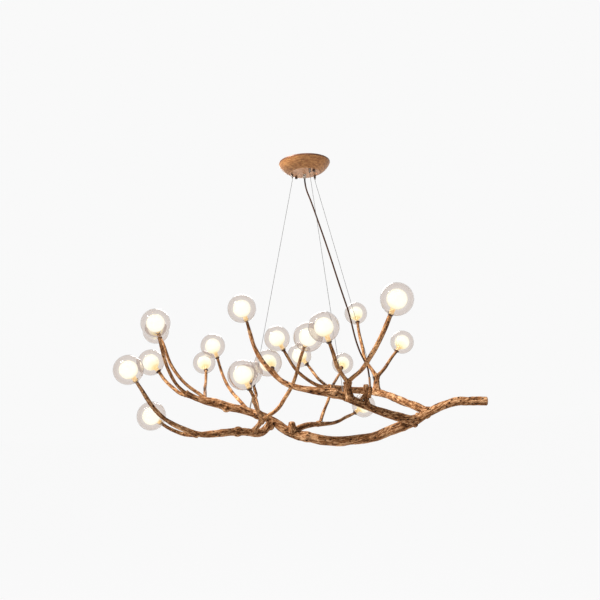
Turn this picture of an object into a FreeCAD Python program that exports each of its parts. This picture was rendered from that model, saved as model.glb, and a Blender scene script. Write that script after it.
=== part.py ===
import FreeCAD, Part

import math
import os

# Branch chandelier that hangs from a ceiling on three steel wires: a gnarled branch with side
# limbs, a thin twig for each light, and a clear glass ball with a frosted inner ball on each twig.
# Millimetres, +Z up. The origin is the centre of the ceiling plate's upper face, on the ceiling.
# +X runs towards the sawn end of the branch and +Y away from the side that the lights lean to.

Vector = FreeCAD.Vector
up = Vector(0, 0, 1)

# Canopy and what holds it to the ceiling
canopy_diameter = 200.0
canopy_depth = 42.0
canopy_floor_diameter = 116.0
canopy_wall = 1.5
canopy_lip = 4.0
canopy_bulge = 6.0
plate_diameter = 130.0
plate_thickness = 2.0
supply_hole_diameter = 13.0
screw_slot_spacing = 70.0
screw_slot_width = 5.0
screw_slot_length = 14.0
stud_diameter = 4.0
stud_circle_radius = 50.0
stud_angle = 134.0
stud_clearance = 0.3
knob_diameter = 11.0
knob_height = 9.0
knob_thread_depth = 6.0
knob_edge = 1.2

# Terminal block, mains cord and its grip
cord_place = Vector(-2, 16, 0)
cord_diameter = 6.0
cord_clearance = 0.2
block_length = 38.0
block_width = 16.0
block_height = 14.0
block_screw_diameter = 4.0
block_screw_pitch = 11.0
block_screw_depth = 5.0
grip_diameter = 14.0
grip_height = 18.0
grip_thread_diameter = 10.0
grip_nut_diameter = 18.0
grip_nut_height = 4.0
thread_clearance = 0.1
sleeve_wall = 0.9
sleeve_length = 32.0

# Wire grippers with their push buttons, wires and the crimps at the wires' lower ends
wire_diameter = 1.5
wire_bend_radius = 12.0
wire_clearance = 0.35
wire_tail = 5.0
gripper_circle_radius = 50.0
gripper_angles = (178.0, -69.0, 39.0)
gripper_diameter = 9.0
gripper_length = 13.0
gripper_edge = 1.2
gripper_thread_diameter = 6.0
gripper_nut_width = 10.0
gripper_nut_height = 4.0
gripper_stem_spare = 2.0
button_diameter = 5.5
button_clearance = 0.08
button_seat_depth = 7.0
button_travel = 2.0
button_reach = 4.0
crimp_diameter = 4.6
crimp_above = 14.0
crimp_below = 22.0

# One light: collar, lampholder, bulb, inner ball and outer glass ball, along its own +Z axis
globe_diameter = 100.0
globe_wall = 1.5
globe_hole_diameter = 16.6
diffuser_diameter = 62.0
diffuser_wall = 1.2
diffuser_hole_diameter = 14.6
collar_diameter = 18.5
collar_height = 6.0
collar_waist_diameter = 13.0
holder_diameter = 16.0
holder_neck_diameter = 14.0
holder_neck_height = 5.0
holder_socket_depth = 7.0
bulb_diameter = 10.0
bulb_length = 34.0
fit_gap = 0.1

# Branch
branch_drop = 900.0
section_step = 18.0
section_turn = 6.0
splice_diameter = 15.0
splice_length = 26.0

# Routes of the branch: x, y, height over the branch's datum, radius. Each limb but the first starts
# inside the one that carries it, and the datum lies branch_drop under the ceiling.
limb_routes = {
    "main_limb": [
        (600, -92, -56, 16), (520, -89, -52, 14.5), (450, -85, -62, 13.5), (380, -77, -97, 16),
        (330, -69, -126, 18), (279, -54, -138, 17), (197, -27, -164, 17), (116, -3, -174, 17),
        (37, 11, -173, 17), (-47, 24, -160, 17), (-120, 24, -126, 16), (-185, 23, -80, 14),
    ],
    "upper_left_limb": [
        (-185, 23, -80, 14), (-225, 20, -65, 14), (-267, 16, -48, 14), (-322, 8, -32, 14.5),
        (-378, 1, -13, 14.5), (-432, -11, 2, 12.5), (-484, -26, 27, 11),
    ],
    "lower_left_limb": [
        (-173, 25, -96, 13), (-209, -14, -126, 13), (-245, -58, -128, 12.5), (-290, -83, -118, 13),
        (-347, -112, -117, 12.5), (-414, -143, -118, 9.8), (-472, -172, -99, 8.8), (-525, -198, -53, 8),
        (-567, -222, -3, 7), (-592, -229, 43, 6.5), (-604, -249, 69, 5.5),
    ],
    "middle_limb": [
        (346, -73, -114, 16), (310, -88, -107, 14.5), (243, -114, -82, 14.5), (178, -141, -54, 13.5),
        (116, -167, -30, 14.5), (56, -183, -2, 15.5), (0, -192, 9, 13), (-61, -185, 22, 10.5),
        (-116, -178, 43, 9), (-158, -168, 80, 8.5), (-196, -158, 135, 7.8), (-218, -146, 194, 7),
        (-228, -145, 238, 6.5), (-236, -166, 264, 5.5),
    ],
    "far_limb": [
        (394, -75, -88, 15.5), (362, -38, -66, 14.5), (313, 57, -40, 14), (266, 152, -12, 14),
        (216, 190, 1, 14), (153, 175, 9, 13), (94, 141, 17, 12.5), (49, 108, 22, 12),
    ],
    "low_limb": [
        (-100, 22, -130, 11), (-48, 85, -116, 11), (0, 139, -115, 9), (72, 240, -114, 7),
        (107, 296, -109, 6.5), (130, 324, -106, 6), (157, 333, -87, 5.5),
    ],
}

# The limb that each other limb grows from
limb_carriers = {
    "lower_left_limb": "main_limb",
    "middle_limb": "main_limb",
    "far_limb": "main_limb",
    "low_limb": "main_limb",
}

# Short stumps on the limbs, as routes: sawn-off side shoots, and those that twigs and fittings use
stump_routes = {
    "main_limb": [
        [(-102, 22, -130, 11), (-101, 6, -106, 11.5), (-100, -3, -90, 11)],
    ],
    "lower_left_limb": [
        [(-240, -60, -126, 9), (-224, -56, -106, 9), (-207, -47, -86, 9)],
    ],
    "middle_limb": [
        [(106, -173, -27, 14), (103, -184, 8, 13.5), (104, -188, 34, 12.5)],
        [(166, -150, -48, 10), (167, -158, -14, 8), (167, -161, 24, 6.5)],
        [(140, -153, -40, 8), (152, -157, -24, 6), (165, -160, -2, 5)],
        [(172, -156, -20, 8), (181, -164, 0, 7), (181, -164, 16, 6.5)],
    ],
    "far_limb": [
        [(240, 178, -4, 12), (244, 186, 38, 11), (247, 191, 57, 10.5)],
    ],
}

# Round knuckles and burls on the limbs: x, y, height over the datum, radius
knuckles = {
    "main_limb": [(-47, 22, -163, 19), (300, -62, -131, 19.5)],
    "upper_left_limb": [(-484, -26, 27, 13), (-341, 4, -42, 13), (-225, 18, -62, 16.5)],
    "lower_left_limb": [(-207, -47, -86, 12.5), (-289, -88, -108, 13)],
    "middle_limb": [(104, -188, 34, 15), (56, -184, -3, 17.5)],
    "far_limb": [(48, 108, 22, 14), (247, 191, 57, 13), (238, 180, 0, 16)],
    "low_limb": [(0, 138, -112, 11)],
}

# Twigs: the limb that carries each, and its route. The light stands on the route's last point.
twig_routes = {
    "a": ("upper_left_limb", [
        (-476, -22, 20, 7), (-509, -43, 61, 6.5), (-527, -64, 98, 6), (-541, -104, 150, 6),
        (-542, -176, 218, 5.8), (-540, -207, 236, 5.5)]),
    "b": ("upper_left_limb", [
        (-402, -4, -8, 7), (-435, -3, 22, 6.5), (-458, -5, 39, 6.2), (-487, -9, 60, 6.2),
        (-514, -12, 97, 6), (-543, -16, 150, 6), (-566, -16, 218, 5.8), (-581, 7, 239, 5.5)]),
    "d": ("upper_left_limb", [
        (-470, -20, 18, 7), (-500, -12, 26, 6.5), (-530, -3, 47, 6), (-566, 10, 86, 5.8),
        (-589, 20, 112, 5.5)]),
    "e": ("lower_left_limb", [
        (-428, -150, -112, 8), (-473, -125, -115, 7.5), (-504, -99, -108, 6.5),
        (-541, -86, -90, 5.8), (-556, -112, -73, 5.5)]),
    "f": ("upper_left_limb", [
        (-259, 17, -50, 8), (-291, 51, -17, 7), (-318, 94, 10, 6.5), (-346, 146, 48, 6.3),
        (-381, 205, 131, 5.8), (-392, 201, 164, 5.5)]),
    "g": ("upper_left_limb", [
        (-423, -8, -4, 7), (-430, 38, 6, 6.5), (-440, 101, 23, 6.2), (-455, 230, 55, 6.2),
        (-464, 383, 103, 5.8), (-472, 406, 127, 5.5)]),
    "i": ("lower_left_limb", [
        (-207, -48, -85, 8), (-215, -110, -64, 7), (-219, -172, -45, 6.5), (-214, -252, -24, 6.2),
        (-210, -278, -16, 6), (-213, -290, 0, 5.8), (-223, -294, 23, 5.5)]),
    "j": ("middle_limb", [
        (-116, -178, 43, 6.5), (-131, -165, 61, 5.8), (-146, -147, 80, 5.5),
        (-156, -120, 95, 5.2)]),
    "k": ("far_limb", [
        (48, 108, 22, 7.5), (14, 105, 31, 7), (-35, 92, 60, 6.5), (-78, 80, 102, 6),
        (-101, 73, 141, 5.8), (-117, 68, 172, 5.5)]),
    "l": ("lower_left_limb", [
        (-206, -46, -86, 8), (-186, -50, -71, 7.5), (-160, -60, -56, 7), (-134, -71, -36, 7),
        (-119, -82, -14, 7), (-95, -104, 24, 6.5), (-67, -149, 86, 6), (-47, -208, 142, 5.8),
        (-38, -239, 160, 5.5)]),
    "m": ("middle_limb", [
        (104, -188, 34, 7.5), (90, -216, 50, 7), (77, -260, 66, 7), (62, -322, 88, 7),
        (51, -375, 121, 6.5), (41, -381, 154, 6)]),
    "n": ("far_limb", [
        (49, 110, 22, 7), (31, 146, 36, 6.5), (9, 189, 58, 6), (-7, 225, 95, 5.8),
        (-28, 237, 122, 5.5)]),
    "o": ("low_limb", [
        (8, 150, -113, 7), (21, 193, -80, 6.5), (36, 229, -51, 6), (50, 266, -24, 6),
        (72, 347, 28, 6), (119, 486, 97, 5.8), (126, 518, 113, 5.5)]),
    "p": ("far_limb", [
        (247, 191, 57, 8), (229, 218, 93, 7), (214, 246, 124, 7), (208, 291, 178, 6.8),
        (204, 365, 270, 6.5), (202, 385, 301, 6.2)]),
    "q": ("middle_limb", [
        (104, -188, 34, 8), (121, -212, 49, 7.5), (139, -246, 65, 7), (157, -294, 85, 7.5),
        (170, -335, 102, 8), (190, -424, 142, 8), (207, -490, 188, 7.6), (220, -507, 217, 6.6)]),
    "r": ("far_limb", [
        (247, 192, 57, 8), (286, 241, 90, 7.2), (329, 296, 135, 6.6), (349, 308, 161, 6.2)]),
    "t": ("lower_left_limb", [
        (-208, -47, -85, 7), (-219, -30, -50, 6.5), (-231, 12, -27, 6), (-242, 62, -21, 6),
        (-247, 118, -14, 6), (-240, 181, 14, 5.8), (-248, 178, 45, 5.5)]),
}

# The three limbs that run on into a light of their own
limb_lights = {"c": "lower_left_limb", "h": "middle_limb", "s": "low_limb"}

# Where the wires and the cord meet the branch: x, y, height over the datum
wire_anchors = [
    ("upper_left_limb", Vector(-255, 16, -50)),
    ("middle_limb", Vector(87, -178, -12)),
    ("far_limb", Vector(238, 186, 26)),
]
# Route of the cord under its grip, as x, y, height over the datum
cord_points = [
    (-2, 16, 806), (18, 0, 742), (38, -14, 664), (60, -33, 578), (80, -53, 494), (99, -70, 410),
    (117, -87, 336), (131, -99, 280), (141, -114, 210), (147, -125, 176), (157, -137, 136),
    (171, -152, 101),
]
cord_entry = Vector(181, -164, 16)


# ---- helpers ----

def at_branch(x, y, height):
    return Vector(x, y, height - branch_drop)


def lowered(point):
    return at_branch(point.x, point.y, point.z)


def unit(vector):
    return vector * (1.0 / vector.Length)


def polar(radius, degrees, z=0.0):
    angle = math.radians(degrees)
    return Vector(radius * math.cos(angle), radius * math.sin(angle), z)


def revolved(profile):
    """Solid of revolution about Z from a closed list of (radius, z) corners."""
    corners = [Vector(radius, 0, z) for radius, z in profile]
    wire = Part.makePolygon(corners + corners[:1])
    return Part.Face(wire).revolve(Vector(0, 0, 0), up, 360)


def rod(diameter, start_z, end_z, place=Vector(0, 0, 0)):
    low, high = min(start_z, end_z), max(start_z, end_z)
    return Part.makeCylinder(diameter / 2, high - low, Vector(place.x, place.y, low))


def section(centre, side, lift, radius):
    """Closed ring of four arcs round centre, in the plane of side and lift."""
    def rim(turns):
        angle = 2 * math.pi * turns
        return centre + side * (radius * math.cos(angle)) + lift * (radius * math.sin(angle))

    arcs = [Part.Arc(rim(i / 4), rim((i + 0.5) / 4), rim((i + 1) / 4)) for i in range(4)]
    return Part.Wire([arc.toShape() for arc in arcs])


def smooth_slopes(points, spans, chords):
    """Slope at each point of the cubic spline whose ends run along their chords."""
    slopes, weights = [chords[0]], [0.0]
    for i in range(1, len(points) - 1):
        before, after = spans[i - 1], spans[i]
        pivot = 2 * (before + after) - after * weights[-1]
        pull = (chords[i - 1] * after + chords[i] * before) * 3
        slopes.append((pull - slopes[-1] * after) * (1.0 / pivot))
        weights.append(before / pivot)
    slopes.append(chords[-1])
    for i in range(len(points) - 2, 0, -1):
        slopes[i] = slopes[i] - slopes[i + 1] * weights[i]
    return slopes


def stations(route):
    """Centre, direction and radius of each section along a route."""
    points = [at_branch(x, y, height) for x, y, height, radius in route]
    radii = [radius for x, y, height, radius in route]
    spans = [(after - before).Length for before, after in zip(points, points[1:])]
    chords = [unit(after - before) for before, after in zip(points, points[1:])]
    slopes = smooth_slopes(points, spans, chords)
    found = [(points[0], unit(slopes[0]), radii[0])]
    for i, span in enumerate(spans):
        turn = math.degrees(slopes[i].getAngle(slopes[i + 1]))
        steps = max(1, round(span / section_step), math.ceil(turn / section_turn))
        for step in range(1, steps + 1):
            s = step / steps
            rise = s * s * (3 - 2 * s)
            centre = points[i] * (1 - rise) + points[i + 1] * rise
            centre += (slopes[i] * (s * (1 - s) ** 2) - slopes[i + 1] * (s * s * (1 - s))) * span
            along = (points[i + 1] - points[i]) * (6 * s * (1 - s) / span)
            along += slopes[i] * ((1 - s) * (1 - 3 * s)) + slopes[i + 1] * (s * (3 * s - 2))
            found.append((centre, unit(along), radii[i] + (radii[i + 1] - radii[i]) * s))
    return found


def limb(route):
    """Smooth tapering solid through the route's points, square at both ends."""
    sections = []
    side = None
    for centre, along, radius in stations(route):
        if side is None:
            side = along.cross(Vector(0.31, 0.17, 0.93))
        side = unit(side - along * side.dot(along))
        sections.append(section(centre, side, along.cross(side), radius))
    return Part.makeLoft(sections, True, False)


def end_of(route):
    """Last point of a route and the direction in which it ends."""
    end = at_branch(*route[-1][:3])
    return end, unit(end - at_branch(*route[-2][:3]))


def run_direction(name, centre):
    """Direction of the run of a limb or of its stumps that passes nearest to centre."""
    runs = []
    for route in [limb_routes[name]] + stump_routes.get(name, []):
        points = [at_branch(x, y, height) for x, y, height, radius in route]
        runs += list(zip(points, points[1:]))

    def detour(run):
        start, end = run
        return (start - centre).Length + (end - centre).Length - (end - start).Length

    start, end = min(runs, key=detour)
    return unit(end - start)


def knuckle(name, place):
    """Ball whose poles lie along the limb, inside it."""
    x, y, height, radius = place
    centre = at_branch(x, y, height)
    return Part.makeSphere(radius, centre, run_direction(name, centre))


def rounded_path(points, radius_limit=None):
    """Straight runs joined by tangent arcs, as a wire; returns it with its length and arc radii."""
    edges, radii, length = [], [], 0.0
    here = points[0]
    for before, corner, after in zip(points, points[1:], points[2:]):
        back, ahead = before - corner, after - corner
        half_turn = (math.pi - back.getAngle(ahead)) / 2
        setback = 0.45 * min(back.Length, ahead.Length)
        radius = setback / math.tan(half_turn)
        if radius_limit is not None and radius > radius_limit:
            radius = radius_limit
            setback = radius * math.tan(half_turn)
        start = corner + unit(back) * setback
        end = corner + unit(ahead) * setback
        middle_way = unit(unit(back) + unit(ahead))
        middle = corner + middle_way * (radius / math.cos(half_turn) - radius)
        edges.append(Part.LineSegment(here, start).toShape())
        edges.append(Part.Arc(start, middle, end).toShape())
        length += (start - here).Length + radius * 2 * half_turn
        radii.append(round(radius, 1))
        here = end
    edges.append(Part.LineSegment(here, points[-1]).toShape())
    length += (points[-1] - here).Length
    return Part.Wire(edges), length, radii


def tube_along(points, diameter, radius_limit=None):
    path, length, radii = rounded_path(points, radius_limit)
    ring = Part.Wire([Part.makeCircle(diameter / 2, points[0], points[1] - points[0])])
    tube = path.makePipeShell([ring], True, False)
    return tube, length, radii


def stood_on(shape, base, direction):
    """Copy of a shape made along +Z at the origin, set at base and turned to direction."""
    turned = shape.copy()
    turned.Placement = FreeCAD.Placement(base, FreeCAD.Rotation(up, direction))
    return turned


def export(name, shapes):
    whole = shapes[0] if len(shapes) == 1 else Part.makeCompound(shapes)
    whole.exportStep("parts/" + name + ".step")
    print(name, len(whole.Solids), "solids", round(whole.Volume / 1000, 2), "ml", whole.isValid())


# ---- canopy ----

floor_top_z = canopy_wall - canopy_depth
floor_z = -canopy_depth


def dish(inset):
    """Solid dish inside the canopy's outer face by inset."""
    rim_r = canopy_diameter / 2 - inset
    floor_r = canopy_floor_diameter / 2 - inset / 2
    bottom = inset - canopy_depth
    chord = Vector(floor_r - rim_r, 0, bottom + canopy_lip)
    outwards = unit(Vector(-chord.z, 0, chord.x)) * canopy_bulge
    middle = Vector((rim_r + floor_r) / 2, 0, (bottom - canopy_lip) / 2) + outwards
    top, lip = Vector(rim_r, 0, 0), Vector(rim_r, 0, -canopy_lip)
    foot, axis_low = Vector(floor_r, 0, bottom), Vector(0, 0, bottom)
    edges = [
        Part.LineSegment(Vector(0, 0, 0), top).toShape(),
        Part.LineSegment(top, lip).toShape(),
        Part.Arc(lip, middle, foot).toShape(),
        Part.LineSegment(foot, axis_low).toShape(),
        Part.LineSegment(axis_low, Vector(0, 0, 0)).toShape(),
    ]
    return Part.Face(Part.Wire(edges)).revolve(Vector(0, 0, 0), up, 360)


stud_places = [polar(stud_circle_radius, stud_angle + half) for half in (0, 180)]
gripper_places = [polar(gripper_circle_radius, angle) for angle in gripper_angles]
hole_start_z = floor_z - canopy_wall
hole_end_z = floor_top_z + canopy_wall


def canopy_shell():
    shell = dish(0).cut(dish(canopy_wall))
    holes = [
        rod(stud_diameter + 2 * stud_clearance, hole_start_z, hole_end_z, place)
        for place in stud_places
    ]
    holes += [
        rod(gripper_thread_diameter + 2 * thread_clearance, hole_start_z, hole_end_z, place)
        for place in gripper_places
    ]
    holes.append(
        rod(grip_thread_diameter + 2 * thread_clearance, hole_start_z, hole_end_z, cord_place))
    return shell.cut(holes)


knob_top_z = floor_z
stud_end_z = knob_top_z - knob_thread_depth + stud_clearance


def ceiling_plate():
    plate = rod(plate_diameter, -plate_thickness, 0)
    plate = plate.cut(rod(supply_hole_diameter, -plate_thickness, 0))
    flat = screw_slot_length - screw_slot_width
    for sign in (1, -1):
        middle = sign * screw_slot_spacing / 2
        corner = Vector(middle - flat / 2, -screw_slot_width / 2, -plate_thickness)
        plate = plate.cut(Part.makeBox(flat, screw_slot_width, plate_thickness, corner))
        for end in (middle - flat / 2, middle + flat / 2):
            plate = plate.cut(rod(screw_slot_width, -plate_thickness, 0, Vector(end, 0, 0)))
    studs = [rod(stud_diameter, stud_end_z, -plate_thickness, place) for place in stud_places]
    return [plate] + studs


def canopy_knob(place):
    radius = knob_diameter / 2
    bottom = knob_top_z - knob_height
    body = revolved([
        (0, knob_top_z), (radius, knob_top_z), (radius, bottom + knob_edge),
        (radius - knob_edge, bottom), (0, bottom)])
    body = body.cut(
        rod(stud_diameter + 2 * thread_clearance, knob_top_z - knob_thread_depth, knob_top_z))
    return stood_on(body, Vector(place.x, place.y, 0), up)


block_top_z = -plate_thickness
block_bottom_z = block_top_z - block_height


def terminal_block():
    corner = Vector(
        cord_place.x - block_length / 2, cord_place.y - block_width / 2, block_bottom_z)
    block = Part.makeBox(block_length, block_width, block_height, corner)
    for step in (-1, 0, 1):
        place = Vector(cord_place.x + step * block_screw_pitch, corner.y, 0)
        side_hole = Part.makeCylinder(
            block_screw_diameter / 2, block_screw_depth,
            Vector(place.x, corner.y, block_bottom_z + block_height / 2), Vector(0, 1, 0))
        block = block.cut(side_hole)
    return block


grip_bottom_z = floor_z - grip_height
grip_top_z = floor_top_z + grip_nut_height


def cord_grip():
    bore = rod(cord_diameter + 2 * cord_clearance, grip_bottom_z, grip_top_z)
    radius = grip_diameter / 2
    thread_r = grip_thread_diameter / 2
    body = revolved([
        (0, grip_top_z), (thread_r, grip_top_z), (thread_r, floor_z), (radius, floor_z),
        (radius, floor_z - grip_height / 2), (radius * 0.72, grip_bottom_z), (0, grip_bottom_z)])
    nut = rod(grip_nut_diameter, floor_top_z, grip_top_z).cut(
        rod(grip_thread_diameter + 2 * thread_clearance, floor_top_z, grip_top_z))
    place = Vector(cord_place.x, cord_place.y, 0)
    return [stood_on(body.cut(bore), place, up), stood_on(nut, place, up)]


# ---- wire grippers, their buttons and the wires ----

gripper_bottom_z = floor_z - gripper_length
stem_top_z = floor_top_z + gripper_nut_height + gripper_stem_spare
button_bottom_z = gripper_bottom_z - button_reach
button_top_z = gripper_bottom_z + button_seat_depth - button_travel
wire_bore = wire_diameter + 2 * wire_clearance


def wire_gripper():
    radius = gripper_diameter / 2
    stem_r = gripper_thread_diameter / 2
    body = revolved([
        (0, stem_top_z), (stem_r, stem_top_z), (stem_r, floor_z), (radius, floor_z),
        (radius, gripper_bottom_z + gripper_edge), (radius - gripper_edge, gripper_bottom_z),
        (0, gripper_bottom_z)])
    bore = rod(wire_bore, gripper_bottom_z, stem_top_z)
    seat = rod(
        button_diameter + 2 * button_clearance, gripper_bottom_z,
        gripper_bottom_z + button_seat_depth)
    nut_corners = [polar(gripper_nut_width / 2 / math.cos(math.pi / 6), 60 * i) for i in range(6)]
    nut_outline = Part.Face(Part.makePolygon(nut_corners + nut_corners[:1]))
    nut = nut_outline.extrude(up * gripper_nut_height)
    nut.translate(up * floor_top_z)
    thread = rod(
        gripper_thread_diameter + 2 * thread_clearance, floor_top_z,
        floor_top_z + gripper_nut_height)
    return [body.cut([bore, seat]), nut.cut(thread)]


def gripper_button():
    button = rod(button_diameter, button_bottom_z, button_top_z)
    return button.cut(rod(wire_bore, button_bottom_z, button_top_z))


def wire_exit(place):
    return Vector(place.x, place.y, button_bottom_z - wire_bend_radius / 2)


def suspension_wire(place, anchor, carrier):
    top = Vector(place.x, place.y, stem_top_z + wire_tail)
    points = [top, wire_exit(place), lowered(anchor)]
    wire, length, radii = tube_along(points, wire_diameter, wire_bend_radius)
    print("wire: length", round(length, 1), "arc radius", radii)
    return wire.cut(carrier)


def wire_crimp(place, anchor, carrier):
    foot = lowered(anchor)
    direction = unit(wire_exit(place) - foot)
    crimp = Part.makeCylinder(crimp_diameter / 2, crimp_below + crimp_above, foot, direction)
    bore = Part.makeCylinder(wire_diameter / 2 + fit_gap, crimp_below + crimp_above, foot, direction)
    return crimp.cut([bore, carrier])


def cord_sleeve():
    foot = lowered(cord_entry)
    outer = cord_diameter / 2 + fit_gap + sleeve_wall
    sleeve = rod(2 * outer, foot.z, foot.z + sleeve_length, foot)
    return sleeve.cut(rod(cord_diameter + 2 * fit_gap, foot.z, foot.z + sleeve_length, foot))


def power_cord():
    foot = lowered(cord_entry)
    points = [Vector(cord_place.x, cord_place.y, block_bottom_z)]
    points += [at_branch(*point) for point in cord_points]
    points += [foot + up * (sleeve_length + 4 * cord_diameter), foot]
    cord, length, radii = tube_along(points, cord_diameter)
    print("cord: length", round(length, 1), "arc radii", radii)
    print("cord: volume over section times length",
          round(cord.Volume / (math.pi * cord_diameter ** 2 / 4 * length), 4))
    return cord


# ---- one light, along +Z from the twig's end ----

globe_r = globe_diameter / 2
diffuser_r = diffuser_diameter / 2
globe_hole_drop = math.sqrt(globe_r ** 2 - (globe_hole_diameter / 2) ** 2)
diffuser_hole_drop = math.sqrt(diffuser_r ** 2 - (diffuser_hole_diameter / 2) ** 2)
globe_centre_z = collar_height + globe_hole_drop
holder_shoulder_z = globe_centre_z - diffuser_hole_drop
holder_top_z = holder_shoulder_z + holder_neck_height
bulb_base_z = holder_top_z - holder_socket_depth


def collar():
    return revolved([
        (0, 0), (collar_waist_diameter / 2, 0), (collar_diameter / 2, collar_height / 2),
        (collar_diameter / 2, collar_height), (0, collar_height)])


def lampholder():
    body_r = holder_diameter / 2
    neck_r = holder_neck_diameter / 2
    body = revolved([
        (0, collar_height), (body_r, collar_height), (body_r, holder_shoulder_z),
        (neck_r, holder_shoulder_z), (neck_r, holder_top_z), (0, holder_top_z)])
    return body.cut(rod(bulb_diameter + 2 * fit_gap, bulb_base_z, holder_top_z))


def bulb():
    straight_end = bulb_base_z + bulb_length - bulb_diameter / 2
    return rod(bulb_diameter, bulb_base_z, straight_end).fuse(
        Part.makeSphere(bulb_diameter / 2, Vector(0, 0, straight_end))).removeSplitter()


def hollow_ball(radius, wall, hole_diameter):
    centre = Vector(0, 0, globe_centre_z)
    outer = Part.makeSphere(radius, centre)
    inner = Part.makeSphere(radius - wall, centre)
    return outer.cut([inner, rod(hole_diameter, globe_centre_z - radius - 1, globe_centre_z)])


light_pieces = {
    "collars": collar(),
    "lampholders": lampholder(),
    "bulbs": bulb(),
    "diffusers": hollow_ball(diffuser_r, diffuser_wall, diffuser_hole_diameter),
}
globe_piece = hollow_ball(globe_r, globe_wall, globe_hole_diameter)


# ---- branch ----

def largest(shape):
    """Largest solid of a cut shape, without the slivers that the cut can leave."""
    return max(shape.Solids, key=lambda solid: solid.Volume)


def spliced(limbs):
    """The main limb takes the upper left limb's spigot in a bore at its end."""
    start = at_branch(*limb_routes["upper_left_limb"][0][:3])
    direction = unit(at_branch(*limb_routes["main_limb"][-2][:3]) - start)
    spigot = Part.makeCylinder(splice_diameter / 2, splice_length, start, direction)
    bore = Part.makeCylinder(
        splice_diameter / 2 + fit_gap, splice_length + fit_gap, start, direction)
    limbs["main_limb"] = limbs["main_limb"].cut(bore)
    limbs["upper_left_limb"] = limbs["upper_left_limb"].fuse(spigot)
    return limbs


def branch_limbs():
    limbs = {}
    for name, route in limb_routes.items():
        extras = [limb(stump) for stump in stump_routes.get(name, [])]
        extras += [knuckle(name, place) for place in knuckles.get(name, [])]
        body = limb(route)
        limbs[name] = body.fuse(extras) if extras else body
    for name, carrier in limb_carriers.items():
        limbs[name] = largest(limbs[name].cut(limbs[carrier]))
    limbs["upper_left_limb"] = largest(limbs["upper_left_limb"].cut(
        [limbs["main_limb"], limbs["lower_left_limb"]]))
    return spliced(limbs)


def main():
    os.makedirs("parts", exist_ok=True)
    limbs = branch_limbs()
    for name, shape in limbs.items():
        export(name, [shape])

    light_ends = {}
    twigs = {name: [] for name in limbs}
    for letter, (carrier, route) in twig_routes.items():
        twig = largest(limb(route).cut([limbs[carrier]] + twigs[carrier]))
        export("twig_" + letter, [twig])
        twigs[carrier].append(twig)
        light_ends[letter] = end_of(route)
    for letter, name in limb_lights.items():
        light_ends[letter] = end_of(limb_routes[name])

    letters = sorted(light_ends)
    for letter in letters:
        export("globe_" + letter, [stood_on(globe_piece, *light_ends[letter])])
    for name, piece in light_pieces.items():
        export(name, [stood_on(piece, *light_ends[letter]) for letter in letters])

    export("ceiling_plate", ceiling_plate())
    export("canopy_shell", [canopy_shell()])
    export("canopy_knobs", [canopy_knob(place) for place in stud_places])
    export("terminal_block", [terminal_block()])
    export("cord_grip", cord_grip())

    gripper, button = wire_gripper(), gripper_button()
    grippers, wires, crimps = [], [], []
    for number, place in enumerate(gripper_places, 1):
        grippers += [stood_on(piece, place, up) for piece in gripper]
        export("gripper_button_" + str(number), [stood_on(button, place, up)])
        carrier, anchor = wire_anchors[number - 1]
        wires.append(suspension_wire(place, anchor, limbs[carrier]))
        crimps.append(wire_crimp(place, anchor, limbs[carrier]))
    export("wire_grippers", grippers)
    export("suspension_wires", wires)
    export("wire_crimps", crimps)
    export("power_cord", [power_cord()])
    export("cord_sleeve", [cord_sleeve()])


main()
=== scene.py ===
import math

import bpy
import numpy as np
from mathutils import Matrix, Vector


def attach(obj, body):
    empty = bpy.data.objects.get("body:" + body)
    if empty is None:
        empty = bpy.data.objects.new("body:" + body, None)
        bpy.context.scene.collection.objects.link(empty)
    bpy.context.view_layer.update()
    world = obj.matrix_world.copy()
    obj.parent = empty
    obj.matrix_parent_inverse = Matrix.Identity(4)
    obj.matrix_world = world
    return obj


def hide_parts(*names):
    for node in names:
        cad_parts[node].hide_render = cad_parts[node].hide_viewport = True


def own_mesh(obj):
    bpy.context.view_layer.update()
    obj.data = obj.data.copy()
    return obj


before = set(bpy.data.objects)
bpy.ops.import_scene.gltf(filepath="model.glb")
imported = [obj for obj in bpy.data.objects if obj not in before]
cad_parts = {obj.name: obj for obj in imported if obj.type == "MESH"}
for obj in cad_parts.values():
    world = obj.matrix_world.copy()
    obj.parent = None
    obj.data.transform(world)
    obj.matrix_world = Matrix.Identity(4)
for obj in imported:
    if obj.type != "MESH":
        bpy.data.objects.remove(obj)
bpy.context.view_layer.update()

mm = 0.001
drop = 900.0  # the branch's datum lies this far under the ceiling, in millimetres


# Camera: a little below the branch's height, tipped up and rolled slightly, as the photograph is.
cameraSettings = {
    "place": (-0.0453, -2.376, -0.9115),
    "pitch": math.radians(8.8),
    "roll": math.radians(3.0),
    "focalPixels": 633.0,
    "imagePixels": 600.0,
}


def makeCamera(settings):
    pitch, roll = settings["pitch"], settings["roll"]
    ahead = Vector((0, math.cos(pitch), math.sin(pitch)))
    level = Vector((1, 0, 0))
    upright = Vector((0, -math.sin(pitch), math.cos(pitch)))
    right = math.cos(roll) * level - math.sin(roll) * upright
    top = math.sin(roll) * level + math.cos(roll) * upright
    data = bpy.data.cameras.new("camera")
    data.sensor_width = 36.0
    data.lens = 36.0 * settings["focalPixels"] / settings["imagePixels"]
    camera = bpy.data.objects.new("camera", data)
    bpy.context.scene.collection.objects.link(camera)
    turn = Matrix((right, top, -ahead)).transposed().to_4x4()
    camera.matrix_world = Matrix.Translation(settings["place"]) @ turn
    bpy.context.scene.camera = camera


makeCamera(cameraSettings)
print("camera set")


def gridFaces(rows, columns):
    # quads between each ring and the next, joined round the ring
    # a quad's corners run anticlockwise, seen from outside
    row, column = np.meshgrid(np.arange(rows - 1), np.arange(columns), indexing="ij")
    beside = (column + 1) % columns
    quads = np.stack([row * columns + column, row * columns + beside,
                      (row + 1) * columns + beside, (row + 1) * columns + column], axis=-1)
    return quads.reshape(-1, 4)


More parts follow.
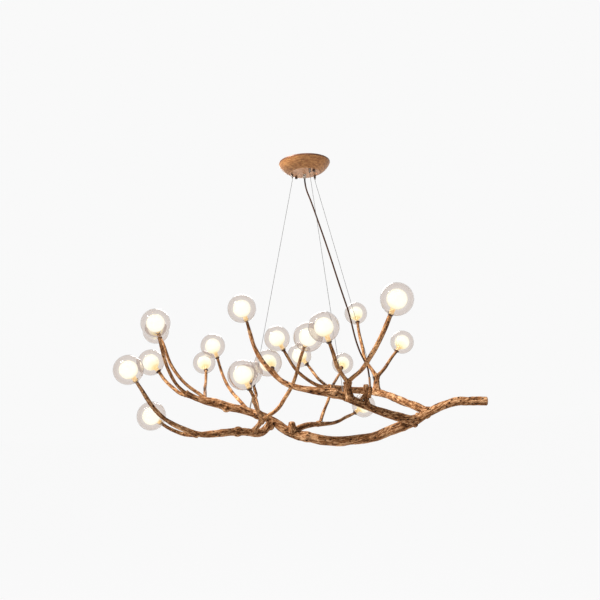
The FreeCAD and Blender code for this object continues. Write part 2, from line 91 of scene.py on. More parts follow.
def capFaces(centre, ring, columns, flip):
    # a fan from one centre point to the ring whose first point has the index ring
    column = np.arange(columns)
    beside = (column + 1) % columns
    fan = np.stack([np.full(columns, centre), ring + beside, ring + column], axis=-1)
    return fan[:, ::-1] if flip else fan


def closedSkin(rings):
    # rings: (rows, columns, 3); each end is closed by a fan to the mean of its last ring
    rows, columns = rings.shape[:2]
    points = np.vstack([rings.reshape(-1, 3), rings[0].mean(axis=0), rings[-1].mean(axis=0)])
    last = rows * columns
    fans = np.vstack([capFaces(last, 0, columns, False),
                      capFaces(last + 1, (rows - 1) * columns, columns, True)])
    return points, gridFaces(rows, columns), fans


class Skins:
    # gathers closed skins, with one value list per point for each attribute, into one mesh

    def __init__(self):
        self.points, self.quads, self.fans, self.values, self.count = [], [], [], {}, 0

    def add(self, points, quads, fans, **values):
        self.points.append(points)
        self.quads.append(quads + self.count)
        self.fans.append(fans + self.count)
        for key, value in values.items():
            self.values.setdefault(key, []).append(value)
        self.count += len(points)

    def build(self, name, material, body, slotName, *nodes):
        points = np.vstack(self.points)
        quads, fans = np.vstack(self.quads), np.vstack(self.fans)
        mesh = bpy.data.meshes.new(name)
        mesh.from_pydata(points.tolist(), [], quads.tolist() + fans.tolist())
        for key, parts in self.values.items():
            value = np.concatenate(parts)
            kind = "FLOAT_VECTOR" if value.ndim == 2 else "FLOAT"
            field = "vector" if value.ndim == 2 else "value"
            layer = mesh.attributes.new(key, kind, "POINT")
            layer.data.foreach_set(field, value.astype(np.float32).ravel())
        mesh.polygons.foreach_set("use_smooth", np.ones(len(mesh.polygons), dtype=bool))
        mesh.materials.append(material)
        mesh.update()
        piece = bpy.data.objects.new(name, mesh)
        bpy.context.scene.collection.objects.link(piece)
        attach(piece, body)
        if nodes:
            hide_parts(*nodes)
        return piece


def latheRings(profile, sides):
    # a profile of (radius, height) points carried round the Z axis
    profile = np.asarray(profile, float)
    angle = np.linspace(0, 2 * np.pi, sides, endpoint=False)
    radius, height = profile[:, :1], profile[:, 1:]
    return np.stack([radius * np.cos(angle), radius * np.sin(angle),
                     np.broadcast_to(height, (len(profile), sides))], axis=-1)


def turnedTo(points, base, direction):
    # points made along +Z at the origin, turned so that +Z points along direction, and moved to base
    turn = np.array(Vector((0, 0, 1)).rotation_difference(Vector(direction)).to_matrix())
    return points @ turn.T + base


def bevelled(corners, size, steps=3):
    # each inner corner of a profile is rounded by a quadratic curve that starts and ends size from it
    corners = np.asarray(corners, float)
    out = [corners[0]]
    for before, corner, after in zip(corners, corners[1:], corners[2:]):
        back, ahead = before - corner, after - corner
        reach = min(size, 0.45 * np.linalg.norm(back), 0.45 * np.linalg.norm(ahead))
        start = corner + back / np.linalg.norm(back) * reach
        end = corner + ahead / np.linalg.norm(ahead) * reach
        t = np.linspace(0, 1, steps + 1)[:, None]
        out += list((1 - t) ** 2 * start + 2 * t * (1 - t) * corner + t ** 2 * end)
    out.append(corners[-1])
    return np.array(out)


def smoothRoute(stops, step):
    # clamped cubic spline through the stops, by chord length; gives places, radii and distances
    stops = np.asarray(stops, float)
    spans = np.linalg.norm(np.diff(stops[:, :3], axis=0), axis=1)
    slopes = np.diff(stops, axis=0) / spans[:, None]
    n = len(stops)
    matrix, target = np.eye(n), np.zeros((n, stops.shape[1]))
    inner = np.arange(1, n - 1)
    matrix[inner, inner - 1] = spans[1:]
    matrix[inner, inner] = 2 * (spans[:-1] + spans[1:])
    matrix[inner, inner + 1] = spans[:-1]
    target[inner] = 3 * (spans[1:, None] * slopes[:-1] + spans[:-1, None] * slopes[1:])
    target[0], target[-1] = slopes[0], slopes[-1]
    tangents = np.linalg.solve(matrix, target)
    counts = np.maximum(2, np.round(spans / step).astype(int))
    which = np.concatenate([np.repeat(np.arange(n - 1), counts), [n - 2]])
    share = np.concatenate([np.arange(count) / count for count in counts] + [[1.0]])[:, None]
    span = spans[which][:, None]
    p0, p1, m0, m1 = stops[which], stops[which + 1], tangents[which], tangents[which + 1]
    place = ((2 * share ** 3 - 3 * share ** 2 + 1) * p0 + (share ** 3 - 2 * share ** 2 + share) * span * m0
             + (3 * share ** 2 - 2 * share ** 3) * p1 + (share ** 3 - share ** 2) * span * m1)
    radius = (stops[which, 3:] * (1 - share) + stops[which + 1, 3:] * share)[:, 0]
    gone = np.concatenate([[0], np.cumsum(np.linalg.norm(np.diff(place[:, :3], axis=0), axis=1))])
    return place[:, :3], radius, gone


def crossFrames(places):
    # two directions across the route at each place, which turn as little as they can along it
    along = np.gradient(places, axis=0)
    along /= np.linalg.norm(along, axis=1)[:, None]
    skew = (0.31, 0.17, 0.93)  # no route starts in this direction
    side = np.cross(along[0], skew)
    sides = []
    for direction in along:
        side = side - direction * np.dot(side, direction)
        side = side / np.linalg.norm(side)
        sides.append(side)
    sides = np.array(sides)
    return sides, np.cross(along, sides)


def ripples(points, size, seed, waves=22):
    # smooth noise of about -1 to 1: a sum of sine waves of about that size in seeded directions
    rng = np.random.default_rng(seed)
    ways = rng.normal(size=(waves, 3))
    ways *= (2 * np.pi / size) * rng.uniform(0.55, 1.6, (waves, 1)) / np.linalg.norm(ways, axis=1)[:, None]
    return np.sin(points @ ways.T + rng.uniform(0, 2 * np.pi, waves)).sum(axis=-1) / math.sqrt(waves)


def newMaterial(name):
    material = bpy.data.materials.new(name)
    material.use_nodes = True
    nodes, links = material.node_tree.nodes, material.node_tree.links
    return material, nodes, links, nodes["Principled BSDF"]


def linear(*levels):
    # 0 to 255 screen levels as scene-linear colour
    shares = [level / 255 for level in levels]
    return tuple(s / 12.92 if s <= 0.04045 else ((s + 0.055) / 1.055) ** 2.4 for s in shares) + (1.0,)


def feed(links, socket, value):
    # a node's output is linked to the socket, and a number or colour is set on it
    if isinstance(value, bpy.types.NodeSocket):
        links.new(value, socket)
    else:
        socket.default_value = value


def addMath(nodes, links, kind, first, second):
    node = nodes.new("ShaderNodeMath")
    node.operation = kind
    feed(links, node.inputs[0], first)
    feed(links, node.inputs[1], second)
    return node.outputs[0]


def addMix(nodes, links, factor, first, second):
    # colour mix: first where the factor is 0, second where it is 1
    node = nodes.new("ShaderNodeMix")
    node.data_type = "RGBA"
    for index, value in ((0, factor), (6, first), (7, second)):
        feed(links, node.inputs[index], value)
    return node.outputs[2]


def addNoise(nodes, links, vector, scale, detail=3.0, rough=0.55):
    node = nodes.new("ShaderNodeTexNoise")
    node.inputs["Scale"].default_value = scale
    node.inputs["Detail"].default_value = detail
    node.inputs["Roughness"].default_value = rough
    links.new(vector, node.inputs["Vector"])
    return node.outputs["Fac"]


def addStretch(nodes, links, vector, scale):
    node = nodes.new("ShaderNodeMapping")
    node.inputs["Scale"].default_value = scale
    links.new(vector, node.inputs["Vector"])
    return node.outputs[0]


def addLevels(nodes, links, value, low, high):
    # 0 at low, 1 at high, clamped
    node = nodes.new("ShaderNodeMapRange")
    node.inputs["From Min"].default_value = low
    node.inputs["From Max"].default_value = high
    links.new(value, node.inputs["Value"])
    return node.outputs[0]


def addAttribute(nodes, name, output="Fac"):
    node = nodes.new("ShaderNodeAttribute")
    node.attribute_name = name
    return node.outputs[output]


def newGroup(name, inputs, outputs):
    group = bpy.data.node_groups.new(name, "ShaderNodeTree")
    for label, kind in inputs:
        group.interface.new_socket(name=label, in_out="INPUT", socket_type=kind)
    for label, kind in outputs:
        group.interface.new_socket(name=label, in_out="OUTPUT", socket_type=kind)
    taken, given = group.nodes.new("NodeGroupInput"), group.nodes.new("NodeGroupOutput")
    return group, group.nodes, group.links, taken, given


def useGroup(nodes, links, group, values):
    node = nodes.new("ShaderNodeGroup")
    node.node_tree = group
    for label, value in values.items():
        feed(links, node.inputs[label], value)
    return node


grainSettings = {
    # noises: scale, detail, roughness, share of the scale along the grain
    "streak": (210, 5, 0.62, 0.16),
    "blotch": (48, 3, 0.55, 0.5),
    "fleck": (190, 3, 0.7, 0.45),
    "pores": (620, 2, 0.5, 0.55),
    "dots": (74, 0.7),          # dark dots: scale, share of it along the grain
    # values that count as 0 and as 1
    "streakEdge": (0.36, 0.66), "blotchEdge": (0.36, 0.66), "fleckEdge": (0.36, 0.64),
    "dotEdge": (0.14, 0.3),     # distance from a dot's middle
    "middleEdge": (0.2, 0.56),  # tones over which dark turns to middle
    "lightEdge": (0.55, 1.0),   # tones over which middle turns to light
    # what each adds to the tone, the share of these three in it, and then the flecks
    "streakTone": 0.42, "blotchTone": 0.3, "reliefTone": 0.42, "grainShare": 0.72, "fleckTone": 0.36,
    "streakHeight": 0.75, "poresHeight": 0.25,
}


def barkGroup(settings):
    # streaks, blotches, relief and flecks add up to a tone, which picks dark, middle or light
    # dots in the dark colour lie over it, and streaks and pores make the height
    group, nodes, links, taken, given = newGroup("barkGrain", [
        ("Grain", "NodeSocketVector"), ("Relief", "NodeSocketFloat"), ("Dark", "NodeSocketColor"),
        ("Middle", "NodeSocketColor"), ("Light", "NodeSocketColor"), ("Size", "NodeSocketFloat")],
        [("Color", "NodeSocketColor"), ("Height", "NodeSocketFloat"), ("Streak", "NodeSocketFloat")])
    scaled = nodes.new("ShaderNodeVectorMath")
    scaled.operation = "SCALE"
    links.new(taken.outputs["Grain"], scaled.inputs[0])
    links.new(taken.outputs["Size"], scaled.inputs["Scale"])

    def alongGrain(share):
        return addStretch(nodes, links, scaled.outputs[0], (1, 1, share))

    def noise(name):
        scale, detail, rough, share = settings[name]
        return addNoise(nodes, links, alongGrain(share), scale, detail, rough)

    def level(value, edge):
        return addLevels(nodes, links, value, *settings[edge])

    def weighted(first, firstWeight, second, secondWeight):
        return addMath(nodes, links, "ADD", addMath(nodes, links, "MULTIPLY", first, settings[firstWeight]),
                       addMath(nodes, links, "MULTIPLY", second, settings[secondWeight]))

    streak = noise("streak")
    streakLevel = level(streak, "streakEdge")
    tone = weighted(streakLevel, "streakTone", level(noise("blotch"), "blotchEdge"), "blotchTone")
    relief = addMath(nodes, links, "MULTIPLY", taken.outputs["Relief"], settings["reliefTone"])
    tone = addMath(nodes, links, "ADD", tone, relief)
    tone = weighted(tone, "grainShare", level(noise("fleck"), "fleckEdge"), "fleckTone")
    warm = addMix(nodes, links, level(tone, "middleEdge"), taken.outputs["Dark"], taken.outputs["Middle"])
    pale = addMix(nodes, links, level(tone, "lightEdge"), warm, taken.outputs["Light"])
    dotScale, dotShare = settings["dots"]
    dots = nodes.new("ShaderNodeTexVoronoi")
    dots.inputs["Scale"].default_value = dotScale
    links.new(alongGrain(dotShare), dots.inputs["Vector"])
    clear = level(dots.outputs["Distance"], "dotEdge")
    links.new(addMix(nodes, links, clear, taken.outputs["Dark"], pale), given.inputs["Color"])
    links.new(weighted(streak, "streakHeight", noise("pores"), "poresHeight"), given.inputs["Height"])
    links.new(streakLevel, given.inputs["Streak"])
    return group


toneSettings = {"detail": 4, "edge": (0.35, 0.68)}  # clouds of the two tones, and what counts as 0 and 1


def toneGroup(settings):
    # fine uneven tone of a cast, drawn or moulded surface: colour between two tones, and a height
    group, nodes, links, taken, given = newGroup("unevenTone", [
        ("Place", "NodeSocketVector"), ("Base", "NodeSocketColor"), ("Other", "NodeSocketColor"),
        ("Amount", "NodeSocketFloat"), ("Scale", "NodeSocketFloat")],
        [("Color", "NodeSocketColor"), ("Height", "NodeSocketFloat")])
    cloud = nodes.new("ShaderNodeTexNoise")
    cloud.inputs["Detail"].default_value = settings["detail"]
    links.new(taken.outputs["Place"], cloud.inputs["Vector"])
    links.new(taken.outputs["Scale"], cloud.inputs["Scale"])
    level = addLevels(nodes, links, cloud.outputs["Fac"], *settings["edge"])
    amount = addMath(nodes, links, "MULTIPLY", level, taken.outputs["Amount"])
    links.new(addMix(nodes, links, amount, taken.outputs["Base"], taken.outputs["Other"]),
              given.inputs["Color"])
    links.new(cloud.outputs["Fac"], given.inputs["Height"])
    return group


barkGrain = barkGroup(grainSettings)
unevenTone = toneGroup(toneSettings)


def addBump(nodes, links, shader, height, strength, distance):
    bump = nodes.new("ShaderNodeBump")
    bump.inputs["Strength"].default_value = strength
    bump.inputs["Distance"].default_value = distance
    links.new(height, bump.inputs["Height"])
    links.new(bump.outputs["Normal"], shader.inputs["Normal"])


def woodMaterial(name, dark, middle, light, size, rough, polish, coat, shine, depth):
    # painted wood: the paler streaks are smoother than the rest by polish
    material, nodes, links, shader = newMaterial(name)
    group = useGroup(nodes, links, barkGrain, {
        "Grain": addAttribute(nodes, "grain", "Vector"), "Relief": addAttribute(nodes, "relief"),
        "Dark": linear(*dark), "Middle": linear(*middle), "Light": linear(*light), "Size": size})
    links.new(group.outputs["Color"], shader.inputs["Base Color"])
    smoother = addMath(nodes, links, "MULTIPLY", group.outputs["Streak"], -polish)
    links.new(addMath(nodes, links, "ADD", smoother, rough), shader.inputs["Roughness"])
    shader.inputs["Specular IOR Level"].default_value = shine
    shader.inputs["Coat Weight"].default_value = coat
    shader.inputs["Coat Roughness"].default_value = 0.25
    addBump(nodes, links, shader, group.outputs["Height"], 0.7, depth)
    return material


def plainMaterial(name, base, other, amount, scale, metallic, roughness, depth=0.0002, stretch=(1, 1, 1),
                  shine=0.5, glow=None):
    # clouds of one tone over another, with a slight bump; glow makes it give off its own colour: the bulbs'
    # light, and painted light on the lampholders
    material, nodes, links, shader = newMaterial(name)
    place = nodes.new("ShaderNodeTexCoord").outputs["Object"]
    group = useGroup(nodes, links, unevenTone, {
        "Place": addStretch(nodes, links, place, stretch), "Base": linear(*base), "Other": linear(*other),
        "Amount": amount, "Scale": scale})
    links.new(group.outputs["Color"], shader.inputs["Base Color"])
    shader.inputs["Metallic"].default_value = metallic
    shader.inputs["Roughness"].default_value = roughness
    shader.inputs["Specular IOR Level"].default_value = shine
    if glow is not None:
        links.new(group.outputs["Color"], shader.inputs["Emission Color"])
        shader.inputs["Emission Strength"].default_value = glow
    addBump(nodes, links, shader, group.outputs["Height"], 0.5, depth)
    return material


# Colours here and below are screen levels, 0 to 255, and lengths in materials are metres.
barkSettings = {
    "dark": (40, 20, 10), "middle": (138, 90, 52), "light": (230, 182, 136),
    "size": 1.0, "rough": 1.0, "polish": 0.08, "coat": 0.02, "shine": 0.16, "depth": 0.0022,
}
twigSettings = {
    "dark": (58, 30, 15), "middle": (148, 98, 57), "light": (222, 174, 122),
    "size": 1.3, "rough": 1.0, "polish": 0.14, "coat": 0.08, "shine": 0.2, "depth": 0.0007,
}
barkMaterial = woodMaterial("bark", **barkSettings)
twigMaterial = woodMaterial("twigBark", **twigSettings)

glassSettings = {
    # the ring is the glass's grey tint; the rim is painted shade at the ball's edge seen edge on
    "middle": (253, 252, 251), "ring": (237, 231, 227), "rim": (186, 174, 167),
    "ringFacing": (0.06, 0.26), "shadedRimFacing": (0.66, 0.94),  # 0 faces the viewer, 1 is edge on
    "refraction": 1.2,
}
frostedSettings = {
    "base": (120, 112, 92), "foot": (244, 208, 130), "low": (254, 246, 204), "top": (255, 255, 244),
    "edge": (216, 206, 168), "edgeFacing": (0.6, 0.95),
    "lowHeight": (0.0, 0.13), "topHeight": (0.08, 0.4),     # shares of the ball's height
    "cloudScale": 60, "cloudHeight": 0.06, "glow": 0.96, "roughness": 0.45,
}


def facingLevel(nodes, links, edges):
    layer = nodes.new("ShaderNodeLayerWeight")
    layer.inputs["Blend"].default_value = 0.5
    return addLevels(nodes, links, layer.outputs["Facing"], *edges)


def clearGlass(settings):
    # clear in the middle and greyer towards the edge: partly the glass's own tint, partly painted shade,
    # which darkens the rim seen edge on
    material, nodes, links, shader = newMaterial("clearGlass")
    ring = addMix(nodes, links, facingLevel(nodes, links, settings["ringFacing"]),
                  linear(*settings["middle"]), linear(*settings["ring"]))
    # painted shade: the rim darkens as the glass turns edge on
    tintAndPaintedShade = addMix(nodes, links, facingLevel(nodes, links, settings["shadedRimFacing"]), ring,
                  linear(*settings["rim"]))
    links.new(tintAndPaintedShade, shader.inputs["Base Color"])
    shader.inputs["Roughness"].default_value = 0.0
    shader.inputs["IOR"].default_value = settings["refraction"]
    shader.inputs["Transmission Weight"].default_value = 1.0
    return material


def frostedGlass(settings):
    # lit from inside: warm at the foot, paler upwards, and duller at the edge
    material, nodes, links, shader = newMaterial("frostedGlass")
    place = nodes.new("ShaderNodeTexCoord").outputs["Object"]
    cloud = addNoise(nodes, links, place, settings["cloudScale"], 2)
    level = addMath(nodes, links, "ADD", addAttribute(nodes, "height"),
                    addMath(nodes, links, "MULTIPLY", cloud, settings["cloudHeight"]))
    low = addMix(nodes, links, addLevels(nodes, links, level, *settings["lowHeight"]),
                 linear(*settings["foot"]), linear(*settings["low"]))
    body = addMix(nodes, links, addLevels(nodes, links, level, *settings["topHeight"]), low,
                  linear(*settings["top"]))
    glow = addMix(nodes, links, facingLevel(nodes, links, settings["edgeFacing"]), body,
                  linear(*settings["edge"]))
    links.new(glow, shader.inputs["Emission Color"])
    shader.inputs["Base Color"].default_value = linear(*settings["base"])
    shader.inputs["Emission Strength"].default_value = settings["glow"]
    shader.inputs["Roughness"].default_value = settings["roughness"]
    return material


glassMaterial = clearGlass(glassSettings)
frostedMaterial = frostedGlass(frostedSettings)

# Finishes: two tones, amount of the second, scale of its clouds, metallic, roughness.
collarMaterial = plainMaterial("bronze", (62, 36, 21), (104, 66, 40), 0.8, 180, 0.2, 0.45)
# the lampholders' glow is painted light from the bulbs; the holders are no lamps
holderPaintedGlowMaterial = plainMaterial("amberBrassPaintedGlow", (226, 188, 128), (250, 228, 180), 0.8, 130, 0.1, 0.35, glow=0.6)
wireMaterial = plainMaterial("steelWire", (52, 49, 47), (74, 70, 67), 0.9, 900, 0, 0.5,
                             depth=0.00005, stretch=(1, 1, 0.2), shine=0.2)
cordMaterial = plainMaterial("cordJacket", (46, 27, 15), (78, 49, 28), 0.8, 260, 0, 0.7, shine=0.05)

canopySettings = {
    "bowl": (150, 94, 50), "bowlOther": (206, 148, 88), "bowlScale": 85, "bowlStretch": (1, 1, 3),
    "disc": (196, 142, 102), "discOther": (222, 174, 132), "discScale": 60,
    # rim: painted shade round the canopy's edge where it meets the ceiling
    "rim": (104, 62, 36), "amount": 0.8,
    "discEdge": (0.0578, 0.0592),  # distances from the axis over which the disc turns to the bowl
    # the rim band is painted shade
    "shadedRimEdge": (0.0986, 0.0999),   # and the bowl to the rim
    "metallic": 0.25, "roughness": 0.42,
}


def canopyMaterial(settings):
    # brown-gold bowl with a lighter floor disc and a dark rim, which is painted shade: the distance from the
    # axis picks the tone
    material, nodes, links, shader = newMaterial("canopyFinish")
    place = nodes.new("ShaderNodeTexCoord").outputs["Object"]
    flat = nodes.new("ShaderNodeVectorMath")
    flat.operation = "LENGTH"
    links.new(addStretch(nodes, links, place, (1, 1, 0)), flat.inputs[0])
    radius = flat.outputs["Value"]
    bowl = useGroup(nodes, links, unevenTone, {
        "Place": addStretch(nodes, links, place, settings["bowlStretch"]),
        "Base": linear(*settings["bowl"]), "Other": linear(*settings["bowlOther"]),
        "Amount": settings["amount"], "Scale": settings["bowlScale"]})
    disc = useGroup(nodes, links, unevenTone, {
        "Place": place, "Base": linear(*settings["disc"]), "Other": linear(*settings["discOther"]),
        "Amount": settings["amount"], "Scale": settings["discScale"]})
    tone = addMix(nodes, links, addLevels(nodes, links, radius, *settings["discEdge"]),
                  disc.outputs["Color"], bowl.outputs["Color"])
    # the dark rim is painted shade where the canopy meets the ceiling
    rim = addMix(nodes, links, addLevels(nodes, links, radius, *settings["shadedRimEdge"]), tone,
                 linear(*settings["rim"]))
    links.new(rim, shader.inputs["Base Color"])
    shader.inputs["Metallic"].default_value = settings["metallic"]
    shader.inputs["Roughness"].default_value = settings["roughness"]
    addBump(nodes, links, shader, bowl.outputs["Height"], 0.4, 0.0002)
    return material


# The same six values for each CAD part that shows as it is.
nodeFinishes = {
    "canopy_knobs": ("darkChrome", (60, 38, 24), (96, 66, 44), 0.6, 200, 0.4, 0.35),
    "ceiling_plate": ("zincSteel", (150, 152, 154), (196, 198, 198), 0.7, 90, 0.8, 0.5),
    "terminal_block": ("terminalPlastic", (226, 224, 216), (238, 236, 230), 0.5, 120, 0, 0.5),
    "cord_grip": ("whiteNylon", (224, 218, 206), (240, 236, 228), 0.5, 150, 0, 0.45),
    "wire_grippers": ("chrome", (96, 86, 78), (150, 140, 130), 0.5, 160, 0.6, 0.32),
    "wire_crimps": ("greyChrome", (128, 122, 116), (176, 170, 162), 0.6, 300, 0.8, 0.34),
    "cord_sleeve": ("sleeveRubber", (140, 98, 64), (176, 130, 90), 0.7, 220, 0, 0.5),
}
nodeMaterials = {node: plainMaterial(*finish) for node, finish in nodeFinishes.items()}
nodeMaterials["bulbs"] = plainMaterial("lampGlass", (255, 236, 190), (255, 246, 220), 0.5, 150, 0, 0.2,
                                       glow=1.0)
nodeMaterials["canopy_shell"] = canopyMaterial(canopySettings)
for number in ("1", "2", "3"):
    nodeMaterials["gripper_button_" + number] = nodeMaterials["wire_grippers"]
for node, material in nodeMaterials.items():
    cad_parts[node].data.materials.clear()
    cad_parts[node].data.materials.append(material)
print("materials made")


def splinePoints(points, name):
    # points read from a smooth spline whose control points are given, in metres
    curve = bpy.data.curves.new(name, "CURVE")
    curve.dimensions = "3D"
    curve.resolution_u = 24
    spline = curve.splines.new("NURBS")
    spline.points.add(len(points) - 1)
    spline.points.foreach_set("co", np.hstack([points, np.ones((len(points), 1))]).ravel())
    spline.order_u = 3
    spline.use_endpoint_u = True
    holder = bpy.data.objects.new(name, curve)
    mesh = bpy.data.meshes.new_from_object(holder)
    read = np.empty(len(mesh.vertices) * 3)
    mesh.vertices.foreach_get("co", read)
    bpy.data.objects.remove(holder)
    return read.reshape(-1, 3)


def tubeRings(places, radius, sides):
    # circles round the places, square to the route
    side, lift = crossFrames(places)
    angle = np.linspace(0, 2 * np.pi, sides, endpoint=False)
    ring = side[:, None] * np.cos(angle)[None, :, None] + lift[:, None] * np.sin(angle)[None, :, None]
    return places[:, None] + ring * radius


# Cords: heights and feet in millimetres over the datum, exits and heights at the canopy from the ceiling.
cordSettings = {
    "diameter": 6.0,
    "sides": 20,
    "topHeight": -16.0,           # its hidden end, in the terminal block
    "exit": (-2, 16, -60),        # from the cord grip
    "route": [
        (-2, 16, 806), (18, 0, 742), (38, -14, 664), (60, -33, 578), (80, -53, 494), (99, -70, 410),
        (117, -87, 336), (131, -99, 280), (141, -114, 210), (147, -125, 176), (157, -137, 136),
        (171, -152, 101), (181, -164, 72), (181, -164, 16)],
}
wireSettings = {
    "diameter": 1.5,
    "sides": 10,
    "topHeight": -29.5,
    "exitHeight": -59.0,          # where each wire leaves its gripper
    "bendHeight": -65.0,
    "straight": 6,                # diameters of straight wire after the bend
    "circle": 50.0,               # radius that the grippers stand on
    "angles": (178.0, -69.0, 39.0),
    "feet": [(-255, 16, -50), (87, -178, -12), (238, 186, 26)],
}


def fromDatum(points):
    # x, y and height over the branch's datum in millimetres, as metres under the ceiling
    points = np.asarray(points, float)[:, :3]
    return (points - (0, 0, drop)) * mm


def straightTail(name, top, exits, settings, material, slotName, node):
    # the hidden straight part above each exit, inside the canopy
    skins = Skins()
    for leave in exits:
        places = np.linspace((leave[0], leave[1], top * mm), leave, 5)
        skins.add(*closedSkin(tubeRings(places, settings["diameter"] / 2 * mm, 16)))
    skins.build(name, material, "canopy", slotName, node)


def freeCord(name, control, settings, lay, material, slotName, node):
    # a tube round the spline from its exit down to the branch
    places = splinePoints(control, name + "Route")
    diameter = settings["diameter"] * mm
    skins = Skins()
    skins.add(*closedSkin(tubeRings(places, diameter / 2, settings["sides"])))
    piece = skins.build(name, material, "canopy", slotName, node)
    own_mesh(piece)


def makeCord(settings):
    leave = np.array(settings["exit"]) * mm
    control = np.vstack([leave, fromDatum(settings["route"])])
    look = (cordMaterial, "cord_jacket", "power_cord")
    freeCord("powerCord", control, settings, "hanging", *look)
    straightTail("cordTail", settings["topHeight"], [leave], settings, *look)


def makeWires(settings):
    # straight down from each gripper, one bend, and straight on to its crimp
    look = (wireMaterial, "steel_wire", "suspension_wires")
    straight = settings["straight"] * settings["diameter"] * mm
    exits = []
    for number, (turn, foot) in enumerate(zip(settings["angles"], settings["feet"]), 1):
        x = settings["circle"] * mm * math.cos(math.radians(turn))
        y = settings["circle"] * mm * math.sin(math.radians(turn))
        leave = np.array((x, y, settings["exitHeight"] * mm))
        corner = np.array((x, y, settings["bendHeight"] * mm))
        end = fromDatum([foot])[0]
        run = (end - corner) / np.linalg.norm(end - corner)
        control = np.array([leave, corner, corner + run * straight, end])
        freeCord("wire%d" % number, control, settings, "taut", *look)
        exits.append(leave)
    straightTail("wireTails", settings["topHeight"], exits, settings, *look)


makeCord(cordSettings)
makeWires(wireSettings)
print("cord and wires made")


# Routes of the branch in millimetres: x, y, height over the datum, radius.
limbRoutes = {
    "main": [
        (600, -92, -56, 16), (520, -89, -52, 14.5), (450, -85, -62, 13.5), (378, -77, -94, 15),
        (327, -69, -119, 16), (279, -54, -136, 17.5), (197, -27, -164, 15.8), (116, -3, -174, 16.5),
        (37, 11, -173, 17), (-46, 24, -155, 18), (-120, 24, -128, 17), (-185, 23, -80, 14),
        (-225, 20, -65, 15.5), (-267, 16, -48, 14), (-322, 8, -32, 14.5), (-378, 1, -13, 16),
        (-432, -11, 2, 10.8), (-484, -26, 27, 11)],
    "lowerLeft": [
        (-173, 25, -96, 13), (-209, -14, -127, 14.5), (-245, -58, -125, 12.8), (-290, -83, -118, 13),
        (-347, -112, -118, 14), (-414, -143, -117, 9.4), (-473, -172, -92, 8.4), (-527, -198, -55, 7.4),
        (-567, -222, -3, 7), (-593, -229, 43, 6), (-604, -249, 69, 5.5)],
    "middle": [
        (346, -73, -114, 16), (310, -88, -104, 16.5), (243, -114, -82, 14.5), (178, -141, -56, 13),
        (116, -167, -27, 13), (56, -183, -2, 15.5), (0, -192, 9, 13), (-61, -185, 22, 10.5),
        (-115, -178, 45, 8.4), (-156, -168, 82, 8), (-196, -158, 135, 7.8), (-220, -146, 193, 6.6),
        (-231, -145, 237, 6), (-236, -166, 264, 5.5)],
    "far": [
        (394, -75, -88, 15.5), (362, -38, -66, 14.5), (313, 57, -40, 14), (266, 152, -12, 14),
        (216, 190, 1, 14), (153, 175, 9, 13), (94, 141, 17, 12.5), (49, 108, 22, 12)],
    "low": [
        (-100, 22, -130, 11), (-48, 85, -117, 11.5), (0, 139, -115, 9), (72, 240, -116, 7),
        (106, 296, -106, 6.5), (127, 322, -98, 6.2), (157, 333, -87, 5.5)],
}
limbNodes = {
    "main": ("main_limb", "upper_left_limb"), "lowerLeft": ("lower_left_limb",),
    "middle": ("middle_limb",), "far": ("far_limb",), "low": ("low_limb",),
}
stumpRoutes = {
    "main": [[(-102, 22, -130, 12), (-101, 14, -114, 14), (-100, 9, -98, 12.5)]],
    "lowerLeft": [[(-240, -60, -126, 9), (-224, -56, -106, 9), (-207, -47, -86, 9)]],
    "middle": [
        [(106, -173, -27, 14), (103, -184, 8, 13.5), (104, -188, 34, 12.5)],
        [(166, -150, -48, 10), (167, -158, -14, 8), (167, -161, 24, 6.5)],
        [(140, -153, -40, 8), (152, -157, -24, 6), (165, -160, -2, 5)],
        [(172, -156, -20, 8), (181, -164, 0, 7), (181, -164, 16, 6.5)]],
    "far": [[(240, 178, -4, 12), (244, 186, 38, 11), (247, 191, 57, 10.5)]],
    "low": [],
}
knuckles = {  # balls that swell the skin: x, y, height, radius
    "main": [
        (-47, 22, -155, 19.5), (299, -61, -128, 18.5), (350, -72, -86, 15), (-484, -26, 27, 13),
        (-339, 4, -34, 14), (-225, 18, -64, 18.5)],
    "lowerLeft": [(-207, -47, -86, 12.5), (-290, -84, -117, 16.5), (-177, 9, -111, 13.5)],
    "middle": [(104, -188, 34, 15), (167, -160, 18, 8), (56, -184, 0, 16.5)],
    "far": [(48, 108, 22, 14), (247, 191, 57, 13), (238, 180, 0, 16)],
    "low": [(0, 138, -113, 10.5)],
}
